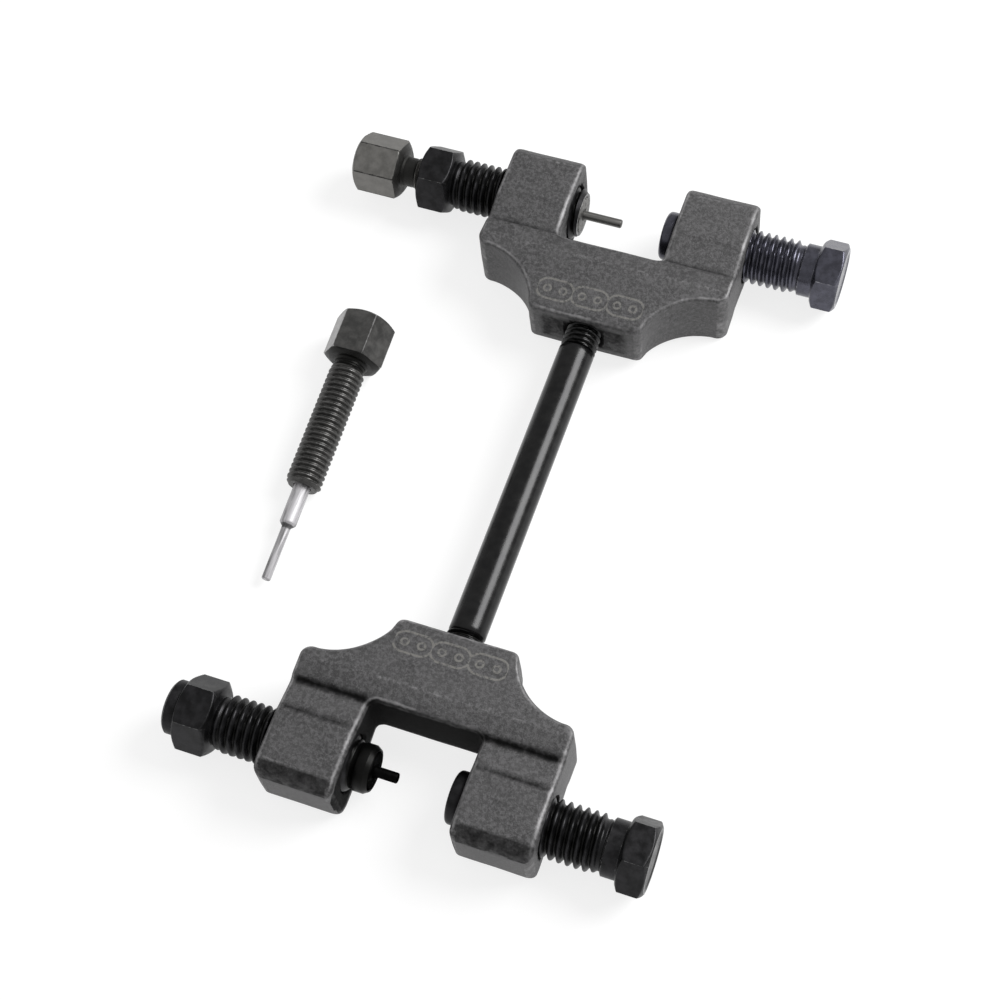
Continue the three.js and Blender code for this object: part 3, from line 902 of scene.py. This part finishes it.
def screw_frame(node, from_low=True):
    """Where a screw of a yoke starts, pointing to +X from its low end or to -X from its high end."""
    low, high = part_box(node)
    line = (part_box("yoke_upper")[0].y + YOKE["screw_line"] * MM) * (1 if low.y > 0 else -1)
    start, along = (low.x, 1) if from_low else (high.x, -1)
    return placement((start, line, box_middle("tie_rod").z), (along, 0, 0), (0, 1, 0))


def spare_frame():
    """The spare rests on a flat of its head and on the end of its thread, so its axis dips to the tip."""
    flat_edge = SPARE_SCREW["head"] - PIN_TRIM * CHAMFER_SLOPE
    thread_edge = SPARE_SCREW["end"] - M8["depth"] - 0.1
    dip = math.atan2(PIN_FLATS / 2 - M8["radius"], thread_edge - flat_edge)
    ahead = Vector((math.sin(SPARE_YAW), -math.cos(SPARE_YAW), 0))
    axis = ahead * math.cos(dip) - Vector((0, 0, math.sin(dip)))
    stem_middle = SPARE_SCREW["end"] + (SPARE_PIN["stem"] - STEM_BEVEL - SPARE_PIN["hold"]) / 2
    x = box_middle("spare_pin").x - axis.x * stem_middle * MM
    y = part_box("spare_pin_screw")[1].y - PIN_RIM * MM * math.sqrt(1 - axis.y ** 2)
    z = (PIN_FLATS / 2 * math.cos(dip) + flat_edge * math.sin(dip)) * MM
    return placement((x, y, z), axis, ahead * math.sin(dip) + Vector((0, 0, math.cos(dip))))


def shifted(matrix, distance):
    """The same frame moved along its own axis by a distance in millimetres."""
    return matrix @ Matrix.Translation((0, 0, distance * MM))


# The finishes by the record's material slots.
FINISHES = {
    "forged_steel": forged_steel(),
    "black_oxide": oxide_steel(
        "black_oxide", (0.014, 0.014, 0.0145), (0.031, 0.0305, 0.0325), (0.3, 0.3, 0.3), glance=0.85),
    "blue_black_oxide": oxide_steel(
        "blue_black_oxide", (0.058, 0.058, 0.072), (0.097, 0.097, 0.122), (0.5, 0.5, 0.53),
        rough=(0.22, 0.34)),
    "black_rod": oxide_steel(
        "rod_black", (0.014, 0.014, 0.0145), (0.022, 0.022, 0.022), (0.09, 0.09, 0.09),
        metallic=0.75, rough=(0.2, 0.28), wear_start=0.95),
    "grey_steel": oxide_steel(
        "grey_steel", (0.135, 0.132, 0.124), (0.2, 0.195, 0.185), (0.42, 0.415, 0.4),
        metallic=0.7, rough=(0.42, 0.58)),
    "spare_steel": oxide_steel(
        "spare_steel", (0.058, 0.0575, 0.056), (0.1, 0.098, 0.095), (0.32, 0.316, 0.315),
        metallic=0.8, rough=(0.38, 0.52), wear_start=0.62),
    "dark_steel": oxide_steel(
        "dark_steel", (0.003, 0.003, 0.003), (0.007, 0.007, 0.007), (0.07, 0.07, 0.07),
        metallic=1.0, rough=(0.4, 0.56), glance=0.25),
    "bright_steel": ground_steel(
        "bright_steel", (0.5, 0.49, 0.505), (0.15, 0.147, 0.15), along=(1, 0.06, 1), metallic=0.45),
}
# The upper pin and its bush share the spare pin's slot, but are painted darker, with a darker copy of its
# steel.
darker_pin_steel = ground_steel(
    "darker_pin_steel", (0.2, 0.198, 0.19), (0.09, 0.088, 0.085), along=(0.06, 1, 1), metallic=1.0)

for seed, (name, side) in enumerate((("yoke_upper", 1), ("yoke_lower", -1)), start=1):
    add(yoke(name, side, seed, SHADE_AND_SCALE[name]), "frame", name, "forged_steel")

rod_low, rod_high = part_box("tie_rod")
rod_frame = placement(box_middle("tie_rod"), (0, 1, 0), (0, 0, 1))
boss_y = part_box("yoke_upper")[0].y / MM
rod_piece = tie_rod("tie_rod_bar", rod_frame, (rod_high.y - rod_low.y) / 2 / MM, boss_y)
add(rod_piece, "frame", "tie_rod", "black_rod")

# What differs between the ends: the pin, the slot and material of its metal, whether the hollow screw has a
# dog, and the anvil screw's slot and how dark the painted shade in its thread roots is.
ENDS = (
    ("upper", LONG_PIN, ("bright_steel", darker_pin_steel), False, "blue_black_oxide", 0.2),
    ("lower", SHORT_PIN, ("dark_steel", None), True, "black_oxide", 0.75),
)
for end, pin_spec, pin_metal, dog, anvil_slot, shade_and_soot in ENDS:
    hollow, bush, pin, anvil, pad = (
        end + kind for kind in ("_hollow_screw", "_guide_bush", "_pin", "_anvil_screw", "_anvil_pad"))
    low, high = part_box(hollow)
    length = (high.x - low.x) / MM
    piece = hollow_screw(hollow + "_turned", screw_frame(hollow), length, TURN[end + "_hollow"], dog)
    add(piece, end + "_hollow", hollow, "black_oxide")
    add(guide_bush(bush + "_ring", screw_frame(bush), pin_spec), end + "_bush", bush, *pin_metal)
    pin_frame = shifted(screw_frame(pin), pin_spec["hold"])
    add(stepped_pin(pin + "_ground", pin_frame, pin_spec), end + "_pin_body", pin, *pin_metal)
    piece = anvil_screw(anvil + "_turned", screw_frame(anvil, False), -TURN[end + "_anvil"], shade_and_soot)
    add(piece, end + "_anvil", anvil, anvil_slot)
    add(anvil_pad(pad + "_ring", screw_frame(pad, False)), end + "_pad", pad, "dark_steel")

node = "upper_pin_screw"
piece = long_pin_screw(node + "_turned", screw_frame(node), PIN_SCREW, TURN["upper_pin"])
add(piece, "upper_pin_head", node, "grey_steel")
node = "lower_pin_screw"
add(short_pin_screw(node + "_turned", screw_frame(node)), "lower_pin_head", node, "black_oxide")

spare = spare_frame()
node = "spare_pin_screw"
piece = long_pin_screw(node + "_turned", spare, SPARE_SCREW, TURN["spare"], lighter_flat=60)
add(piece, "spare", node, "spare_steel")
piece = stepped_pin("spare_pin_ground", shifted(spare, SPARE_SCREW["end"]), SPARE_PIN)
add(piece, "spare", "spare_pin", "bright_steel")


# ---- Floor, light and camera ----
def floor():
    """A wide pale floor that glows, so that it stays nearly white round a soft shadow."""
    half, glow, tone_mm = 3.0, 0.78, 60.0
    material, tree, shader = new_material("pale_floor")
    tone = remap(tree, grain(tree, object_coords(tree), tone_mm, detail=2.0), 0.3, 0.7)
    link(tree, mix_colour(tree, tone, (0.24, 0.24, 0.24), (0.26, 0.26, 0.26)), shader.inputs["Base Color"])
    shader.inputs["Roughness"].default_value = 0.9
    shader.inputs["Emission Color"].default_value = (1, 1, 1, 1)
    shader.inputs["Emission Strength"].default_value = glow
    data = bpy.data.meshes.new("floor")
    corners = ((-half, -half, 0), (half, -half, 0), (half, half, 0), (-half, half, 0))
    data.from_pydata(corners, [], [(0, 1, 2, 3)])
    data.materials.append(material)
    made = bpy.data.objects.new("floor", data)
    bpy.context.scene.collection.objects.link(made)


def side_softbox():
    """A round soft light to the right of the tool and behind it, aimed at the middle."""
    place, size, power = Vector((0.56, 0.39, 0.6)), 0.58, 9.5
    data = bpy.data.lights.new("side_softbox", "AREA")
    data.shape = "DISK"
    data.size = size
    data.energy = power
    made = bpy.data.objects.new("side_softbox", data)
    made.location = place
    made.rotation_euler = (-place).to_track_quat("-Z", "Y").to_euler()
    bpy.context.scene.collection.objects.link(made)


def camera():
    """The photo's view, fitted to the tool's edges: from the front and above, a little rolled."""
    azimuth, elevation, roll = (math.radians(degrees) for degrees in (28.0, 62.8, 9.4))
    distance, lens = 0.3929, 66.96
    target = Vector((0.0036, -0.0052, box_middle("tie_rod").z))
    outward = math.cos(elevation)
    back = Vector((math.sin(azimuth) * outward, -math.cos(azimuth) * outward, math.sin(elevation)))
    level = Vector((math.cos(azimuth), math.sin(azimuth), 0))
    above = back.cross(level)
    right = level * math.cos(roll) - above * math.sin(roll)
    up = level * math.sin(roll) + above * math.cos(roll)
    pose = Matrix((right, up, back)).transposed().to_4x4()
    pose.translation = target + back * distance
    data = bpy.data.cameras.new("camera")
    data.lens = lens
    data.clip_start = 0.01
    made = bpy.data.objects.new("camera", data)
    made.matrix_world = pose
    bpy.context.scene.collection.objects.link(made)
    bpy.context.scene.camera = made


def sky():
    """A plain white sky that fills the shadows."""
    strength = 0.52
    world = bpy.data.worlds.new("studio")
    world.use_nodes = True
    background = world.node_tree.nodes["Background"]
    background.inputs["Color"].default_value = (1, 1, 1, 1)
    background.inputs["Strength"].default_value = strength
    bpy.context.scene.world = world


floor()
camera()
sky()
side_softbox()
bpy.context.scene.view_settings.view_transform = "Standard"
